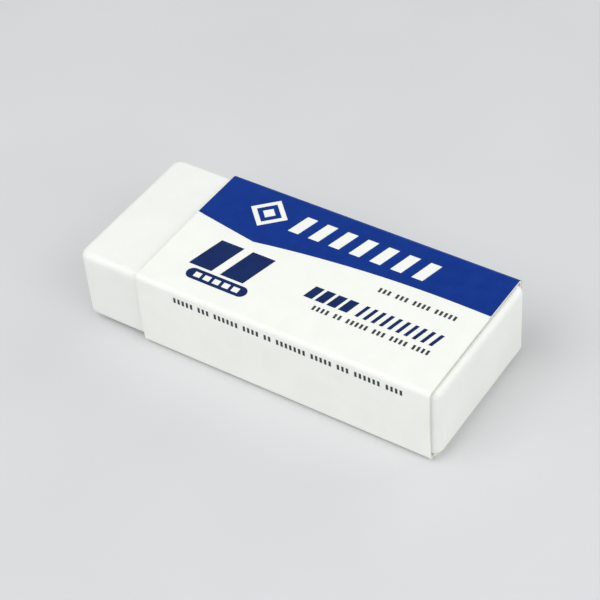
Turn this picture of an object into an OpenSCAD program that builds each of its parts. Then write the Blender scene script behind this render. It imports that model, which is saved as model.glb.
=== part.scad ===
// Block eraser in a card sleeve: a moulded white rubber block, held by friction in a sleeve folded
// from one strip of printed card, which slides along the block as the rubber wears down.
// Millimetres, +Z up, +X along the block away from the rubbing end, the sleeve's band at the rear (+Y).
// The origin is the middle of the eraser's outline, on the face that it rests on.

/* [Rubber block] */
// Length of the rubber block
block_l = 60; // [59.5:0.5:80]
// Width of the rubber block
block_w = 25; // [24:0.5:34]
// Height of the rubber block
block_h = 12; // [9:0.5:16]
// Radius of the block's moulded edges
edge_r = 1; // [0.6:0.1:1.8]
// How much larger the radius of its four upright corners is than that of its edges
corner_ease = 0.6; // [0.2:0.1:2]

/* [Card sleeve] */
// Length of the sleeve along the block
sleeve_l = 48.2; // [44:0.2:56]
// Rubber left bare at the rubbing end
bare_l = 10.8; // [4:0.2:16]
// Thickness of the card
card_t = 0.35; // [0.25:0.05:0.5]
// Radius on the inside of each crease
crease_r = 0.5; // [0.3:0.1:0.6]
// Clearance between the block and the card on each side
fit_gap = 0.12; // [0.08:0.02:0.3]
// Width of the glued flap under the block
flap_w = 20; // [12:0.5:22]
// Distance of the underside's lap seam from the sleeve's front face
seam_inset = 1.3; // [1.2:0.1:6]

/* [Blue band] */
// Thickness of the layer of ink, drawn thicker than real ink so that it makes a solid
ink_t = 0.03; // [0.02:0.01:0.05]
// Depth of the band at the sleeve's left end, from the rear face
band_left_d = 10; // [8:0.1:11]
// Distance of the kink in the band's front edge from the sleeve's left end
kink_u = 10.9; // [7:0.1:16]
// Depth of the band at the kink
kink_d = 11.8; // [10.4:0.1:12.8]
// Distance from the left end at which the band is shallowest
shallow_u = 42; // [34:0.5:46]
// Depth of the band where it is shallowest
shallow_d = 8.9; // [8.2:0.1:9.8]
// How far the band runs down the rear side, past the crease
bleed_d = 2; // [0.5:0.1:5]

/* [Marks in the band] */
// Distance of the marks' middle line from the rear face
mark_v = 5.3; // [4.8:0.1:5.6]
// Distance of the diamond's middle from the sleeve's left end
diamond_u = 9.4; // [6:0.1:10]
// Side of the diamond
diamond_a = 4.6; // [3:0.1:5]
// Width of the diamond's rim
diamond_rim = 0.75; // [0.4:0.05:0.9]
// Distance of the first stripe's middle from the sleeve's left end
stripe_u = 15.3; // [15:0.1:18]
// Number of stripes
stripe_n = 7; // [4:1:7]
// Distance from one stripe to the next
stripe_pitch = 3.45; // [2.2:0.05:3.9]
// Width of each stripe
stripe_w = 1.8; // [0.6:0.05:2.1]
// Height of each stripe
stripe_h = 4; // [2:0.1:5]

/* [Bold marks] */
// Lean of every stripe and block from upright, in degrees
lean = 14; // [0:1:24]
// Distance of the bold blocks' left side from the sleeve's left end
bold_u = 6; // [3:0.1:8]
// Distance of the bold blocks' top from the rear face
bold_v = 13.7; // [13.2:0.1:14]
// Width of each bold block
bold_w = 3.9; // [1:0.1:4.4]
// Height of each bold block
bold_h = 6.2; // [4:0.1:6.4]
// Gap between two bold blocks
bold_gap = 1.5; // [0.4:0.05:2.4]
// Height of the round-ended bar under them
pill_h = 2.1; // [1.2:0.1:2.4]
// Gap between the bold blocks and the bar under them
pill_gap = 0.5; // [0.3:0.1:0.8]
// Length of the round-ended bar
pill_l = 10.2; // [8:0.1:12]
// Rim of the bar round the dashes left bare in it
pill_rim = 0.55; // [0.3:0.05:0.55]
// Gap between two of those dashes
dash_gap = 0.5; // [0.3:0.05:0.8]

/* [Title row] */
// Distance of each row's right end from the sleeve's right end
row_margin = 3.9; // [2:0.1:5]
// Distance of the title row's top from the rear face
title_v = 15.4; // [14.4:0.1:16]
// Height of the title row
title_h = 2.5; // [1.5:0.1:2.8]
// Width of each heavy block in the row
heavy_w = 1.4; // [0.8:0.05:1.6]
// Gap between two heavy blocks
heavy_gap = 0.5; // [0.3:0.05:0.7]
// Width of each light bar in the row
light_w = 0.55; // [0.3:0.05:0.8]
// Distance from one light bar to the next
light_pitch = 1.3; // [1.1:0.05:1.4]

/* [Fine print] */
// Distance of the upper fine row's top from the rear face
fine_upper_v = 11.3; // [10.8:0.1:12.4]
// Distance of the lower fine row's top from the rear face
fine_lower_v = 18.8; // [18.6:0.1:20.4]
// Height of the fine rows' ticks
tick_h = 0.9; // [0.5:0.05:1.2]
// Width of each tick
tick_w = 0.36; // [0.2:0.02:0.5]
// Distance from one tick to the next
tick_pitch = 0.72; // [0.6:0.02:0.78]
// Gap added between two groups of ticks
group_gap = 0.6; // [0.3:0.05:0.8]
// Distance of the front side's row from the sleeve's left end
side_row_u = 6.6; // [3:0.1:8]
// Distance of the front side's row below the top face
side_row_d = 1.3; // [1:0.1:3]

/* [Hidden] */

// Fine enough for the smallest radii, and finer for the band's long, flat arc
$fn = 64;
band_arc_fn = 720;

// The sleeve's section: the outer underside panel, the flap glued onto it, the block, then the roof
inner_w = block_w + 2 * fit_gap;
inner_h = block_h + 2 * fit_gap;
outer_w = inner_w + 2 * card_t;
floor_z = 2 * card_t;
roof_z = floor_z + inner_h;
sleeve_h = roof_z + card_t;
crease_out_r = crease_r + card_t;
crease_y = inner_w / 2 - crease_r;
sleeve_x = -block_l / 2 + bare_l;

block_z = floor_z + fit_gap;
corner_r = edge_r + corner_ease;

// The band's front edge is an arc from the kink to the shallowest place, level there
band_rise = kink_d - shallow_d;
band_arc_r = (pow(shallow_u - kink_u, 2) + pow(band_rise, 2)) / (2 * band_rise);

// How many blocks and bars each row has, and how many ticks each group of a fine row has
bold_n = 2;
heavy_n = 4;
light_n = 10;
pill_dashes = 5;
fine_upper_n = [3, 3, 4, 5];
fine_lower_n = [4, 2, 5, 3, 4, 4];
side_row_n = [5, 3, 6, 4, 2, 7, 5, 3, 6, 4];

title_l = heavy_n * (heavy_w + heavy_gap) + light_n * light_pitch;
row_end_u = sleeve_l - row_margin;
pill_v = bold_v + bold_h + pill_gap;

// How far a cut runs past what it cuts
over = 1;

rubber_white = "#eef3ee";
card_white = "#faf9f4";
band_blue = "#02388a";
navy_ink = "#10285f";
black_ink = "#3a4147";

// Where a group of ticks starts in its row, and how long a row of groups is
function group_start(groups, i) =
    i == 0 ? 0 : group_start(groups, i - 1) + groups[i - 1] * tick_pitch + group_gap;
function row_length(groups) = group_start(groups, len(groups)) - group_gap - tick_pitch + tick_w;

// Rectangle with round corners, centred
module round_rect(w, h, r) {
    square([w - 2 * r, h], center = true);
    square([w, h - 2 * r], center = true);
    for (x = [-1, 1], y = [-1, 1])
        translate([x * (w / 2 - r), y * (h / 2 - r)])
            circle(r);
}

// Upright corner of the block: a turned column whose rims have the edge's radius
module corner_column() {
    rotate_extrude()
        intersection() {
            round_rect(2 * corner_r, block_h, edge_r);
            translate([0, -block_h / 2])
                square([corner_r, block_h]);
        }
}

// The block: its long edges, its end edges and its four upright corners, each with a true radius
module rubber_block() {
    long_l = block_l - 2 * corner_r;
    end_w = block_w - 2 * corner_r;
    color(rubber_white)
        translate([0, 0, block_z + block_h / 2]) {
            rotate([90, 0, 90])
                linear_extrude(long_l, center = true)
                    round_rect(block_w, block_h, edge_r);
            rotate([90, 0, 0])
                linear_extrude(end_w, center = true)
                    round_rect(block_l, block_h, edge_r);
            for (x = [-1, 1], y = [-1, 1])
                translate([x * long_l / 2, y * end_w / 2])
                    corner_column();
        }
}

// Quarter ring about a crease's centre, towards the corner that side and up name
module crease(y, z, side, up) {
    translate([y, z])
        intersection() {
            difference() {
                circle(crease_out_r);
                circle(crease_r);
            }
            translate([min(side, 0) * crease_out_r, min(up, 0) * crease_out_r])
                square(crease_out_r);
        }
}

// Section of the folded strip, from the flap round the front, over the top and under again
module sleeve_section() {
    translate([-crease_y, card_t])
        square([flap_w, card_t]);
    crease(-crease_y, floor_z + crease_r, -1, -1);
    translate([-outer_w / 2, floor_z + crease_r])
        square([card_t, inner_h - 2 * crease_r]);
    crease(-crease_y, roof_z - crease_r, -1, 1);
    translate([-crease_y, roof_z])
        square([2 * crease_y, card_t]);
    crease(crease_y, roof_z - crease_r, 1, 1);
    translate([inner_w / 2, card_t + crease_r])
        square([card_t, inner_h + card_t - 2 * crease_r]);
    crease(crease_y, card_t + crease_r, 1, -1);
    translate([-outer_w / 2 + seam_inset, 0])
        square([outer_w / 2 - seam_inset + crease_y, card_t]);
}

// Runs a section drawn in Y and Z along the sleeve's length
module along_sleeve() {
    translate([sleeve_x, 0, 0])
        rotate([90, 0, 90])
            linear_extrude(sleeve_l)
                children();
}

module card_sleeve() {
    color(card_white)
        along_sleeve()
            sleeve_section();
}

// Inks an outline onto the top face: u runs from the sleeve's left end, v from its rear face
module on_top() {
    translate([sleeve_x, outer_w / 2, sleeve_h])
        mirror([0, 1, 0])
            linear_extrude(ink_t)
                children();
}

// Inks an outline onto the front side: u runs from the sleeve's left end, v down from the top face
module on_front() {
    translate([sleeve_x, -outer_w / 2, sleeve_h])
        rotate([90, 0, 0])
            linear_extrude(ink_t)
                mirror([0, 1, 0])
                    children();
}

// Block or bar that leans to the right as it goes to the rear, as wide as w at half its height
module leaning(w, h) {
    shift = h * tan(lean) / 2;
    polygon([[shift, 0], [w + shift, 0], [w - shift, h], [-shift, h]]);
}

// Square on its corner with a smaller one in it, left as a rim and a middle
module diamond_mark() {
    rotate(45) {
        difference() {
            square(diamond_a, center = true);
            square(diamond_a - 2 * diamond_rim, center = true);
        }
        square(diamond_a - 4 * diamond_rim, center = true);
    }
}

// What stays bare card in the band: a diamond and a row of leaning stripes
module band_marks() {
    translate([diamond_u, mark_v])
        diamond_mark();
    for (i = [0 : stripe_n - 1])
        translate([stripe_u + i * stripe_pitch - stripe_w / 2, mark_v - stripe_h / 2])
            leaning(stripe_w, stripe_h);
}

// The band on the top face, from the crease to its kinked and curved front edge
module band_outline() {
    difference() {
        translate([0, crease_out_r])
            square([sleeve_l, kink_d - crease_out_r]);
        polygon([[-over, band_left_d - over * (kink_d - band_left_d) / kink_u], [kink_u, kink_d],
                 [kink_u, kink_d + over], [-over, kink_d + over]]);
        intersection() {
            translate([shallow_u, shallow_d + band_arc_r])
                circle(band_arc_r, $fn = band_arc_fn);
            translate([kink_u, 0])
                square([sleeve_l, kink_d + over]);
        }
        band_marks();
    }
}

// The band's ink where it goes over the rear crease and a little way down the rear side
module band_wrap_section() {
    translate([crease_y, roof_z - crease_r])
        intersection() {
            difference() {
                circle(crease_out_r + ink_t);
                circle(crease_out_r);
            }
            square(crease_out_r + ink_t);
        }
    translate([outer_w / 2, roof_z - crease_r - bleed_d])
        square([ink_t, bleed_d]);
}

module print_blue() {
    color(band_blue) {
        on_top()
            band_outline();
        along_sleeve()
            band_wrap_section();
    }
}

// Round-ended bar with a row of dashes left bare in it
module pill() {
    dash_pitch = (pill_l - pill_h) / pill_dashes;
    difference() {
        union() {
            translate([pill_h / 2, 0])
                square([pill_l - pill_h, pill_h]);
            for (u = [pill_h / 2, pill_l - pill_h / 2])
                translate([u, pill_h / 2])
                    circle(pill_h / 2);
        }
        for (i = [0 : pill_dashes - 1])
            translate([pill_h / 2 + i * dash_pitch + dash_gap / 2, pill_rim])
                square([dash_pitch - dash_gap, pill_h - 2 * pill_rim]);
    }
}

// Heavy blocks, then light bars, which end where the rows end
module title_row() {
    for (i = [0 : heavy_n - 1])
        translate([row_end_u - title_l + i * (heavy_w + heavy_gap), title_v])
            leaning(heavy_w, title_h);
    for (i = [0 : light_n - 1])
        translate([row_end_u - (light_n - i) * light_pitch + light_pitch - light_w, title_v])
            leaning(light_w, title_h);
}

module print_navy() {
    color(navy_ink)
        on_top() {
            for (i = [0 : bold_n - 1])
                translate([bold_u + i * (bold_w + bold_gap), bold_v])
                    leaning(bold_w, bold_h);
            translate([bold_u, pill_v])
                pill();
            title_row();
        }
}

// Groups of fine ticks in a row
module tick_row(groups) {
    for (i = [0 : len(groups) - 1], k = [0 : groups[i] - 1])
        translate([group_start(groups, i) + k * tick_pitch, 0])
            square([tick_w, tick_h]);
}

module print_black() {
    color(black_ink) {
        on_top() {
            translate([row_end_u - row_length(fine_upper_n), fine_upper_v])
                tick_row(fine_upper_n);
            translate([row_end_u - row_length(fine_lower_n), fine_lower_v])
                tick_row(fine_lower_n);
        }
        on_front()
            translate([side_row_u, side_row_d])
                tick_row(side_row_n);
    }
}

rubber_block();
card_sleeve();
print_blue();
print_navy();
print_black();
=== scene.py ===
"""A block eraser in its card sleeve: moulded vinyl rubber, folded coated board and offset ink."""

import math

import bmesh
import bpy
from mathutils import Matrix, Vector, noise


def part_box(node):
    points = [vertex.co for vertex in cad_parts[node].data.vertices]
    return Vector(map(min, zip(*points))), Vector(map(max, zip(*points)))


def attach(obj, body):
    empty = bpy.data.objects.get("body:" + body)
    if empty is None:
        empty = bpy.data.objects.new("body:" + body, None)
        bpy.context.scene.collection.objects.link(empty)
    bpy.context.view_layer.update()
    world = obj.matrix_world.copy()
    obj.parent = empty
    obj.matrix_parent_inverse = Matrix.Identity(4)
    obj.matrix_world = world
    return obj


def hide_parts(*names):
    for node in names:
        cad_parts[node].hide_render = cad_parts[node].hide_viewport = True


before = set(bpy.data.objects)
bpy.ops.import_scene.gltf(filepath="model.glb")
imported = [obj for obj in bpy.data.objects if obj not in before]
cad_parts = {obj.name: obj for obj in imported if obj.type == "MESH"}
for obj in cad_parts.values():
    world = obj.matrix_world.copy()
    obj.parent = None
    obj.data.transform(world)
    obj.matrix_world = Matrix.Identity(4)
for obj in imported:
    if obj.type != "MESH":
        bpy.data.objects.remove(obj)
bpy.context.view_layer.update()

MM = 0.001

# Sizes of the block and of the folded card that their boxes don't give, as in the part's source
EDGE_R = 1.0 * MM
CORNER_R = 1.6 * MM
CARD_T = 0.35 * MM
CREASE_R = 0.5 * MM
FLAP_W = 20 * MM
SEAM_INSET = 1.3 * MM
INK_T = 0.03 * MM

BLOCK_LOW, BLOCK_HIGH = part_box("rubber_block")
SLEEVE_LOW, SLEEVE_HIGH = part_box("card_sleeve")

# The folded card's section: the radius of the outside of a crease, and where the creases turn
CREASE_OUT_R = CREASE_R + CARD_T
CREASE_Y = SLEEVE_HIGH.y - CREASE_OUT_R
ROOF_CREASE_Z = SLEEVE_HIGH.z - CREASE_OUT_R
REAR_CREASE_Z = SLEEVE_LOW.z + CREASE_OUT_R
FRONT_CREASE_Z = REAR_CREASE_Z + CARD_T

# How far the panels swell between their creases, spring open at the cut ends, and wander
TOP_SWELL = 0.1 * MM
SIDE_SWELL = 0.07 * MM
END_FLARE = 0.05 * MM
END_FLARE_REACH = 1.5 * MM
CARD_WANDER = 0.025 * MM
CARD_WANDER_SIZE = 11 * MM

# The width that the knife rubs off the card's cut ends, and the glue's thickness in the lap
CUT_RUB = 0.04 * MM
GLUE_T = 0.02 * MM

# How deep the ink is drawn into the card, so that no face of it lies on the card's own
INK_SINK = 0.01 * MM

# How far the moulded block wanders from a perfect one, over what distance, and the wander's seed
BLOCK_WANDER = 0.03 * MM
BLOCK_WANDER_SIZE = 9 * MM
BLOCK_WANDER_SEED = 1

# How fine the meshes are: the turn at each step of an arc in degrees, and the longest cells
ARC_STEP = 7.5
BLOCK_CELL = 1.4 * MM
BLOCK_HEIGHT_CELL = 1.2 * MM
CARD_CELL = 1.0 * MM
CARD_LENGTH_CELL = 0.8 * MM
INK_CELL = 1.0 * MM

# Points this close are one point, and points this close to a plane lie on it
SAME_POINT = 0.001 * MM
ON_PLANE = 0.0001 * MM

# How far rounding can put a count or a share from what it should be, as Vectors hold 32-bit numbers
ROUNDING = 1e-6

# The photograph's view: degrees round from the front, up and in roll, its distance and its target
VIEW_AZIMUTH = 36.074
VIEW_ELEVATION = 42.949
VIEW_ROLL = -4.87
VIEW_DISTANCE = 264.87 * MM
VIEW_TARGET = Vector((0, 0, 6.6 * MM))


# Helpers for meshes


def spread(start, end, longest):
    """Evenly spaced values from start to end, both included, no further apart than longest."""
    count = max(1, math.ceil(abs(end - start) / longest - ROUNDING))
    return [start + (end - start) * i / count for i in range(count + 1)]


def turned(degrees):
    """The flat direction at an angle."""
    return Vector((math.cos(math.radians(degrees)), math.sin(math.radians(degrees))))


def quads_between(first, second):
    """Faces between two closed rings of point numbers."""
    ends = [(i - 1, i % len(first)) for i in range(1, len(first) + 1)]
    return [(first[a], first[b], second[b], second[a]) for a, b in ends]


def make_piece(name, points, faces, materials, face_slots=()):
    """A piece from points and faces, each face with the number of its material."""
    mesh = bpy.data.meshes.new(name)
    mesh.from_pydata(points, [], faces)
    for material in materials:
        mesh.materials.append(material)
    if face_slots:
        mesh.polygons.foreach_set("material_index", face_slots)
    return place_mesh(name, mesh)


def place_mesh(name, mesh):
    """A piece that shows a mesh."""
    piece = bpy.data.objects.new(name, mesh)
    bpy.context.scene.collection.objects.link(piece)
    return piece


def finish_mesh(piece, sharp_above=35):
    """Joins points that meet, turns faces outwards and smooths all but edges sharper than an angle."""
    edit = bmesh.new()
    edit.from_mesh(piece.data)
    bmesh.ops.remove_doubles(edit, verts=edit.verts, dist=SAME_POINT)
    bmesh.ops.dissolve_degenerate(edit, edges=edit.edges, dist=SAME_POINT)
    bmesh.ops.recalc_face_normals(edit, faces=edit.faces)
    edit.to_mesh(piece.data)
    edit.free()
    piece.data.shade_smooth()
    piece.data.set_sharp_from_angle(angle=math.radians(sharp_above))


# Helpers for materials


def linear(hex_colour):
    """An sRGB hex colour as linear RGBA."""
    parts = [int(hex_colour[i:i + 2], 16) / 255 for i in (1, 3, 5)]
    return tuple(c / 12.92 if c <= 0.04045 else ((c + 0.055) / 1.055) ** 2.4 for c in parts) + (1.0,)


def in_use(sockets, name=None):
    """The first socket in use, of that name if one is given: a Mix has one for each kind of value."""
    return next((s for s in sockets if s.enabled and (name is None or s.name == name)), None)


def add_node(tree, kind, inputs=None, output=None, **settings):
    """Adds a shader node and returns its output of that name, or else its first one in use.

    Each input, by name, or by number where names repeat, is a value or another node's output.
    """
    node = tree.nodes.new("ShaderNode" + kind)
    for key, value in settings.items():
        setattr(node, key, value)
    for key, value in (inputs or {}).items():
        socket = node.inputs[key] if isinstance(key, int) else in_use(node.inputs, key)
        if isinstance(value, bpy.types.NodeSocket):
            tree.links.new(value, socket)
        else:
            socket.default_value = value
    return in_use(node.outputs, output)


def start_material(name):
    """An empty material: itself, its tree, and coordinates in metres that stay with the piece."""
    material = bpy.data.materials.new(name)
    material.use_nodes = True
    material.node_tree.nodes.clear()
    return material, material.node_tree, add_node(material.node_tree, "TexCoord", output="Object")


# Most of a noise's values lie in this span, which a pattern stretches over its whole range
NOISE_SPAN = {"From Min": 0.35, "From Max": 0.65}


def mottled(tree, place, size, detail, dark_hex, light_hex):
    """A colour that drifts between two, in clouds of about a size in metres."""
    clouds = add_node(tree, "TexNoise", {"Vector": place, "Scale": 1 / size, "Detail": detail})
    share = add_node(tree, "MapRange", {"Value": clouds, **NOISE_SPAN})
    return add_node(
        tree, "Mix", {"Factor": share, "A": linear(dark_hex), "B": linear(light_hex)},
        data_type="RGBA")


def uneven_gloss(tree, place, size, detail, smoothest, roughest):
    """A roughness that drifts between two, in patches of about a size in metres."""
    patches = add_node(tree, "TexNoise", {"Vector": place, "Scale": 1 / size, "Detail": detail})
    return add_node(
        tree, "MapRange", {"Value": patches, "To Min": smoothest, "To Max": roughest, **NOISE_SPAN})


# Materials


def moulded_vinyl():
    """Moulded vinyl eraser rubber.

    Matt white with a breath of green. The mould leaves a soft skin with a fine grain, the
    plasticiser makes it a little glossier in patches, and light sinks about a millimetre in, which
    softens its edges.
    """
    material, tree, place = start_material("moulded_vinyl_rubber")
    soft_hills = add_node(tree, "TexNoise", {"Vector": place, "Scale": 1 / (1.6 * MM), "Detail": 1})
    # Real mould grain is about 0.05 mm, drawn coarser so that it shows
    mould_grain = add_node(tree, "TexNoise", {"Vector": place, "Scale": 1 / (0.3 * MM), "Detail": 4})
    hilly = add_node(tree, "Bump", {"Height": soft_hills, "Distance": 0.03 * MM})
    grained = add_node(tree, "Bump", {"Height": mould_grain, "Distance": 0.03 * MM, "Normal": hilly})
    # Soft vinyl's refraction, and a glow that reaches a little further in red than in blue
    shader = add_node(tree, "BsdfPrincipled", {
        "Base Color": mottled(tree, place, 6 * MM, 2, "#f3f6f0", "#f6f9f3"),
        "Roughness": uneven_gloss(tree, place, 2.2 * MM, 4, 0.46, 0.6),
        "IOR": 1.53, "Normal": grained, "Subsurface Weight": 0.25,
        "Subsurface Radius": (1.0, 0.95, 0.9), "Subsurface Scale": 1 * MM})
    add_node(tree, "OutputMaterial", {"Surface": shader})
    return material


def fold_share(tree):
    """How far round a fold the surface is, from 0 on a flat panel to 1 halfway round."""
    return add_node(tree, "Attribute", output="Fac", attribute_name="fold_share")


def board_relief(tree, place, fold):
    """The faint hills and fibres of board under its coating, and the fine wrinkles along a fold."""
    hills = add_node(tree, "TexNoise", {"Vector": place, "Scale": 1 / (1.4 * MM), "Detail": 2})
    # Real fibres are about 0.03 mm wide, drawn wider so that they show, and three times as long
    along_fibres = add_node(tree, "Mapping", {"Vector": place, "Scale": (1 / 3, 1, 1)})
    fibres = add_node(
        tree, "TexNoise", {"Vector": along_fibres, "Scale": 1 / (0.16 * MM), "Detail": 2})
    # Wrinkles of a tenth of a millimetre, five times as long
    along_fold = add_node(tree, "Mapping", {"Vector": place, "Scale": (1 / 5, 1, 1)})
    wrinkles = add_node(
        tree, "TexNoise", {"Vector": along_fold, "Scale": 1 / (0.1 * MM), "Detail": 2})
    fold_wrinkles = add_node(tree, "Math", {0: fold, 1: wrinkles}, operation="MULTIPLY")
    hilly = add_node(tree, "Bump", {"Height": hills, "Distance": 0.02 * MM})
    fibrous = add_node(tree, "Bump", {"Height": fibres, "Distance": 0.01 * MM, "Normal": hilly})
    return add_node(
        tree, "Bump", {"Height": fold_wrinkles, "Distance": 0.02 * MM, "Normal": fibrous})


def clay_coated_board():
    """White clay-coated board: warm white, calendered smooth, with a soft sheen."""
    material, tree, place = start_material("clay_coated_board")
    # The refraction of clay in its binder
    shader = add_node(tree, "BsdfPrincipled", {
        "Base Color": mottled(tree, place, 3.5 * MM, 3, "#f7f9f3", "#fafcf6"),
        "Roughness": uneven_gloss(tree, place, 1.1 * MM, 3, 0.4, 0.52),
        "IOR": 1.5, "Normal": board_relief(tree, place, fold_share(tree))})
    add_node(tree, "OutputMaterial", {"Surface": shader})
    return material


def raw_board():
    """Uncoated board on the sleeve's inside and its guillotined edges: cream, matt and fibrous."""
    material, tree, place = start_material("raw_board")
    # Real fibres are about 0.03 mm wide, drawn wider so that they show, and four times as long
    along_fibres = add_node(tree, "Mapping", {"Vector": place, "Scale": (1 / 4, 1, 1)})
    fibres = add_node(
        tree, "TexNoise", {"Vector": along_fibres, "Scale": 1 / (0.12 * MM), "Detail": 4})
    share = add_node(tree, "MapRange", {"Value": fibres, **NOISE_SPAN})
    colour = add_node(
        tree, "Mix", {"Factor": share, "A": linear("#e6e2d7"), "B": linear("#f2efe7")},
        data_type="RGBA")
    fibrous = add_node(tree, "Bump", {"Height": fibres, "Distance": 0.02 * MM})
    # Bare cellulose has hardly a sheen
    shader = add_node(tree, "BsdfPrincipled", {
        "Base Color": colour, "Roughness": 0.92, "IOR": 1.45, "Normal": fibrous})
    add_node(tree, "OutputMaterial", {"Surface": shader})
    return material


def offset_ink(name, dark_hex, light_hex, cracked_hex):
    """Offset ink printed solid and varnished.

    An even colour that mottles very slightly as the board takes it up, with the varnish's soft
    gloss, and broken by hairline cracks where the board is folded.
    """
    material, tree, place = start_material(name)
    fold = fold_share(tree)
    solid = mottled(tree, place, 1.8 * MM, 4, dark_hex, light_hex)
    # Real cracks are about 0.02 mm wide, drawn wider so that they show. They run along the fold, 14
    # times as long as wide, and lie only where the noise is highest
    along_fold = add_node(tree, "Mapping", {"Vector": place, "Scale": (1 / 14, 1, 1)})
    streaks = add_node(
        tree, "TexNoise", {"Vector": along_fold, "Scale": 1 / (0.06 * MM), "Detail": 2})
    cracks = add_node(tree, "MapRange", {"Value": streaks, "From Min": 0.6, "From Max": 0.68})
    fold_cracks = add_node(tree, "Math", {0: fold, 1: cracks}, operation="MULTIPLY")
    colour = add_node(
        tree, "Mix", {"Factor": fold_cracks, "A": solid, "B": linear(cracked_hex)},
        data_type="RGBA")
    # The varnish's refraction, with its highlight held low over a coat this thin
    shader = add_node(tree, "BsdfPrincipled", {
        "Base Color": colour, "Roughness": uneven_gloss(tree, place, 0.9 * MM, 3, 0.3, 0.4),
        "IOR": 1.48, "Specular IOR Level": 0.09, "Normal": board_relief(tree, place, fold)})
    add_node(tree, "OutputMaterial", {"Surface": shader})
    return material


def pale_table_top():
    """Matt painted board: a pale grey, hardly mottled."""
    material, tree, place = start_material("pale_table_top")
    shader = add_node(tree, "BsdfPrincipled", {
        "Base Color": mottled(tree, place, 40 * MM, 2, "#dadcdd", "#dddfe0"),
        "Roughness": 0.85, "Specular IOR Level": 0.2})
    add_node(tree, "OutputMaterial", {"Surface": shader})
    return material


# The rubber block


def block_outline():
    """The block's plan as pairs: a place inset by the corner's radius, and the way out to the edge."""
    reach_x = BLOCK_HIGH.x - CORNER_R
    reach_y = BLOCK_HIGH.y - CORNER_R
    centres = [Vector((x * reach_x, y * reach_y)) for x, y in ((1, 1), (-1, 1), (-1, -1), (1, -1))]
    outline = []
    for quarter, centre in enumerate(centres):
        following = centres[(quarter + 1) % 4]
        angles = spread(quarter * 90, quarter * 90 + 90, ARC_STEP)
        outline += [(centre, turned(angle)) for angle in angles]
        side_shares = spread(0, 1, BLOCK_CELL / (following - centre).length)[1:-1]
        outline += [(centre.lerp(following, share), turned(angles[-1])) for share in side_shares]
    return outline


def block_levels():
    """Rings from the underside's middle to the top's: height, inset of the outline, share of the plan."""
    # A flat face has more rings near its edge, which keep its shading flat up to there
    face_shares = spread(0, 0.9, 0.1) + [0.97, 0.99]
    lower = [(BLOCK_LOW.z, EDGE_R, share) for share in face_shares]
    for angle in spread(0, 90, ARC_STEP):
        across, up = turned(angle) * EDGE_R
        lower.append((BLOCK_LOW.z + EDGE_R - across, EDGE_R - up, 1.0))
    sides = spread(BLOCK_LOW.z + EDGE_R, BLOCK_HIGH.z - EDGE_R, BLOCK_HEIGHT_CELL)[1:-1]
    both_ends = BLOCK_LOW.z + BLOCK_HIGH.z
    upper = [(both_ends - z, inset, share) for z, inset, share in reversed(lower)]
    return lower + [(z, 0.0, 1.0) for z in sides] + upper


def make_block(material):
    """The moulded block: true round edges and corners, and faces that are not quite flat."""
    noise.seed_set(BLOCK_WANDER_SEED)
    # Half the length of a flat face's middle line, which its rings draw in to
    spine = BLOCK_HIGH.x - BLOCK_HIGH.y
    outline = block_outline()
    points, rings = [], []
    for z, inset, share in block_levels():
        rings.append(range(len(points), len(points) + len(outline)))
        for centre, direction in outline:
            plan = centre + direction * (CORNER_R - inset)
            middle = Vector((max(-spine, min(spine, plan.x)), 0))
            point = middle.lerp(plan, share).to_3d() + Vector((0, 0, z))
            points.append(point + noise.noise_vector(point / BLOCK_WANDER_SIZE) * BLOCK_WANDER)
    faces = [face for low, high in zip(rings, rings[1:]) for face in quads_between(low, high)]
    block = make_piece("vinyl_block", points, faces, [material])
    finish_mesh(block)
    return block


# The folded card


def lower_crease_z(y):
    """The height at which the crease under the front or the rear side turns."""
    return REAR_CREASE_Z if y > 0 else FRONT_CREASE_Z


def from_core(point):
    """The nearest point of the core that the creases turn round, the way from it and the distance."""
    core = Vector((
        point.x,
        max(-CREASE_Y, min(CREASE_Y, point.y)),
        max(lower_crease_z(point.y), min(ROOF_CREASE_Z, point.z))))
    away = point - core
    return core, away.normalized(), away.length


def bulge(share):
    """How far a panel swells at a share of the way between its creases, from 0 at them to 1 midway."""
    return math.sin(math.pi * max(0.0, min(1.0, share))) ** 1.5


def card_shift(point):
    """How the card stands off its flat panels: it swells, springs open at its ends and wanders."""
    core, away, _ = from_core(point)
    low_z = lower_crease_z(point.y)
    up = (core.z - low_z) / (ROOF_CREASE_Z - low_z)
    across = (core.y + CREASE_Y) / (2 * CREASE_Y)
    on_side = bulge(up)
    on_top = bulge(across) if up > 1 - ROUNDING else 0.0
    from_end = min(core.x - SLEEVE_LOW.x, SLEEVE_HIGH.x - core.x)
    flare = END_FLARE * math.exp(-from_end / END_FLARE_REACH)
    wander = CARD_WANDER * noise.noise(core / CARD_WANDER_SIZE)
    swell = on_top * TOP_SWELL + on_side * SIDE_SWELL
    return away * (swell + (flare + wander) * max(on_top, on_side))


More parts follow.
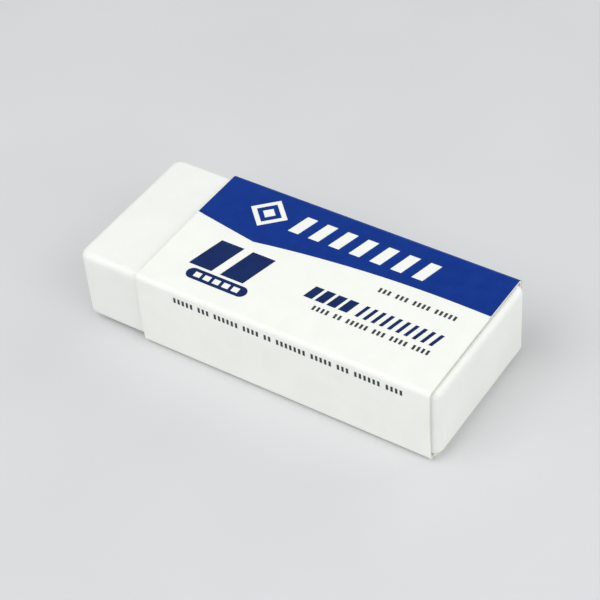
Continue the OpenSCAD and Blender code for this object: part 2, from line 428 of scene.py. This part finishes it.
def strip_section():
    """The strip from its flap's end round to its seam: outer face's places in Y and Z, and normals."""
    section = []

    def panel(start, end, normal):
        """A flat stretch."""
        start, end = Vector(start), Vector(end)
        shares = spread(0, 1, CARD_CELL / (end - start).length)
        section.extend((start.lerp(end, share), Vector(normal)) for share in shares)

    def crease(centre, start, end):
        """A quarter turn between two angles, without its ends, which belong to the panels."""
        angles = spread(start, end, ARC_STEP)[1:-1]
        section.extend((Vector(centre) + turned(a) * CREASE_OUT_R, turned(a)) for a in angles)

    front, rear = SLEEVE_LOW.y, SLEEVE_HIGH.y
    base, top = SLEEVE_LOW.z, SLEEVE_HIGH.z
    flap_z = base + CARD_T
    panel((-CREASE_Y + FLAP_W, flap_z), (-CREASE_Y, flap_z), (0, -1))
    crease((-CREASE_Y, FRONT_CREASE_Z), 270, 180)
    panel((front, FRONT_CREASE_Z), (front, ROOF_CREASE_Z), (-1, 0))
    crease((-CREASE_Y, ROOF_CREASE_Z), 180, 90)
    panel((-CREASE_Y, top), (CREASE_Y, top), (0, 1))
    crease((CREASE_Y, ROOF_CREASE_Z), 90, 0)
    panel((rear, ROOF_CREASE_Z), (rear, REAR_CREASE_Z), (1, 0))
    crease((CREASE_Y, REAR_CREASE_Z), 0, -90)
    panel((CREASE_Y, base), (front + SEAM_INSET, base), (0, -1))
    return section


def card_depth(place):
    """The card's thickness there, less the glue where the outer panel lies on the flap."""
    on_flap = place.y < SLEEVE_LOW.z + CARD_T / 2 and place.x < -CREASE_Y + FLAP_W
    return CARD_T - GLUE_T if on_flap else CARD_T


def card_ring(section, x, rubbed):
    """Points round the strip at one place along the sleeve: its outer face, then back on its inner one."""
    outer = [place - normal * rubbed for place, normal in section]
    inner = [place - normal * (card_depth(place) - rubbed) for place, normal in section]
    ring = [Vector((x, place.x, place.y)) for place in outer + inner[::-1]]
    return [point + card_shift(point) for point in ring]


def make_sleeve(coated, raw):
    """The sleeve: one strip folded at four creases and lapped under the block, coated side out."""
    section = strip_section()
    count = len(section)
    middle = spread(SLEEVE_LOW.x + CUT_RUB, SLEEVE_HIGH.x - CUT_RUB, CARD_LENGTH_CELL)
    stations = [(SLEEVE_LOW.x, CUT_RUB)] + [(x, 0.0) for x in middle] + [(SLEEVE_HIGH.x, CUT_RUB)]
    points, rings = [], []
    for x, rubbed in stations:
        rings.append(range(len(points), len(points) + 2 * count))
        points += card_ring(section, x, rubbed)
    # The outer face is coated, and the inner face, the strip's two edges and its cut ends are raw
    faces, face_slots = [], []
    for low, high in zip(rings, rings[1:]):
        faces += quads_between(low, high)
        face_slots += [0] * (count - 1) + [1] * (count + 1)
    for ring in (rings[0], rings[-1]):
        for i in range(count - 1):
            faces.append((ring[i], ring[i + 1], ring[-2 - i], ring[-1 - i]))
            face_slots.append(1)
    sleeve = make_piece("folded_card", points, faces, [coated, raw], face_slots)
    finish_mesh(sleeve)
    store_fold_share(sleeve)
    return sleeve


def store_fold_share(piece):
    """Stores how far round a fold each point is, from 0 on a flat panel to 1 halfway round."""
    away = [from_core(vertex.co)[1] for vertex in piece.data.vertices]
    shares = piece.data.attributes.new("fold_share", "FLOAT", "POINT")
    shares.data.foreach_set("value", [min(abs(a.y), abs(a.z)) * math.sqrt(2) for a in away])


# The print


def cut_through(edit, places, normal):
    """Cuts a mesh along parallel planes, so that it can bend at them."""
    for place in places:
        everything = edit.verts[:] + edit.edges[:] + edit.faces[:]
        bmesh.ops.bisect_plane(edit, geom=everything, dist=ON_PLANE, plane_co=place, plane_no=normal)


def lay_on_card(point):
    """A point of the ink's solid moved onto the card as it swells, its underside a little way in."""
    core, away, distance = from_core(point)
    height = INK_T if distance > CREASE_OUT_R + INK_T / 2 else -INK_SINK
    on_card = core + away * (CREASE_OUT_R + height)
    return on_card + card_shift(on_card)


def make_print(name, node, material):
    """A layer of ink: the outline of its solid, cut finely enough to follow the card and its crease."""
    low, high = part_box(node)
    edit = bmesh.new()
    edit.from_mesh(bpy.data.objects[node].data)
    bmesh.ops.remove_doubles(edit, verts=edit.verts, dist=SAME_POINT)
    cut_through(edit, [(x, 0, 0) for x in spread(low.x, high.x, INK_CELL)[1:-1]], (1, 0, 0))
    cut_through(edit, [(0, y, 0) for y in spread(low.y, high.y, INK_CELL)[1:-1]], (0, 1, 0))
    cut_through(edit, [(0, 0, z) for z in spread(low.z, ROOF_CREASE_Z, INK_CELL)], (0, 0, 1))
    for angle in spread(0, 90, ARC_STEP):
        across, up = turned(angle + 90)
        cut_through(edit, [(0, CREASE_Y, ROOF_CREASE_Z)], (0, across, up))
    for vertex in edit.verts:
        vertex.co = lay_on_card(vertex.co)
    mesh = bpy.data.meshes.new(name)
    edit.to_mesh(mesh)
    edit.free()
    mesh.materials.clear()
    mesh.materials.append(material)
    layer = place_mesh(name, mesh)
    finish_mesh(layer)
    store_fold_share(layer)
    return layer


# Light, floor and camera


def aim(thing, place, target, roll=0.0):
    """Puts a lamp or the camera at a place, looking at a target and rolled about its line of sight."""
    facing = (Vector(target) - Vector(place)).to_track_quat("-Z", "Y").to_matrix().to_4x4()
    thing.matrix_world = Matrix.Translation(place) @ facing @ Matrix.Rotation(roll, 4, "Z")


def make_floor(half_width):
    """A plain pale table top."""
    corners = [(x * half_width, y * half_width, 0) for x, y in ((-1, -1), (1, -1), (1, 1), (-1, 1))]
    floor = make_piece("table_top", corners, [(0, 1, 2, 3)], [pale_table_top()])


def make_lamp(name, place, size, power):
    """A square soft box that faces the eraser."""
    lamp = bpy.data.lights.new(name, "AREA")
    lamp.shape = "SQUARE"
    lamp.size = size
    lamp.energy = power
    holder = bpy.data.objects.new(name, lamp)
    bpy.context.scene.collection.objects.link(holder)
    aim(holder, place, (0, 0, 0))


def light_room(ambient):
    """A white room that lights the eraser evenly, and shows as plain white to the camera and in gloss."""
    world = bpy.data.worlds.new("soft_room")
    bpy.context.scene.world = world
    world.use_nodes = True
    tree = world.node_tree
    tree.nodes.clear()
    shown = add_node(tree, "LightPath", output="Is Camera Ray")
    for kind in ("Is Glossy Ray", "Is Transmission Ray"):
        ray = add_node(tree, "LightPath", output=kind)
        shown = add_node(tree, "Math", {0: shown, 1: ray}, operation="MAXIMUM")
    strength = add_node(tree, "MapRange", {"Value": shown, "To Min": ambient, "To Max": 1})
    glow = add_node(tree, "Background", {"Color": (1, 1, 1, 1), "Strength": strength})
    add_node(tree, "OutputWorld", {"Surface": glow})


def make_camera():
    """A long lens that looks at the eraser from the photograph's side, with its slight roll."""
    camera = bpy.data.cameras.new("camera")
    camera.lens = 110
    camera.sensor_width = 36
    camera.clip_start = 0.01
    holder = bpy.data.objects.new("camera", camera)
    bpy.context.scene.collection.objects.link(holder)
    level, height = turned(VIEW_ELEVATION)
    across, back = turned(VIEW_AZIMUTH - 90) * level
    away = Vector((across, back, height))
    aim(holder, VIEW_TARGET + away * VIEW_DISTANCE, VIEW_TARGET, math.radians(VIEW_ROLL))
    bpy.context.scene.camera = holder


make_camera()
make_floor(half_width=1.5)
light_room(ambient=0.43)
make_lamp("key_lamp", place=(-0.18, -0.3, 0.49), size=0.5, power=1.78)
make_lamp("fill_lamp", place=(0.47, -0.15, 0.33), size=0.45, power=1.1)
make_lamp("back_lamp", place=(0.2, 0.52, 0.24), size=0.45, power=0.8)

block = make_block(moulded_vinyl())
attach(block, "block")
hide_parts("rubber_block")

sleeve = make_sleeve(clay_coated_board(), raw_board())
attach(sleeve, "sleeve")
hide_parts("card_sleeve")

# Each ink: its piece's name, the node it replaces, its slot, and its dark, light and cracked colours
INKS = (
    ("blue_band", "print_blue", "blue_ink", "#012f86", "#03348c", "#5f86c0"),
    ("navy_marks", "print_navy", "navy_ink", "#0a2459", "#0e2960", "#5b6c94"),
    ("fine_rows", "print_black", "black_ink", "#363d43", "#3f464c", "#7c8286"))

for name, node, slot, *colours in INKS:
    layer = make_print(name, node, offset_ink("offset_" + slot, *colours))
    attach(layer, "sleeve")
    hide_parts(node)

bpy.context.scene.view_settings.view_transform = "Standard"
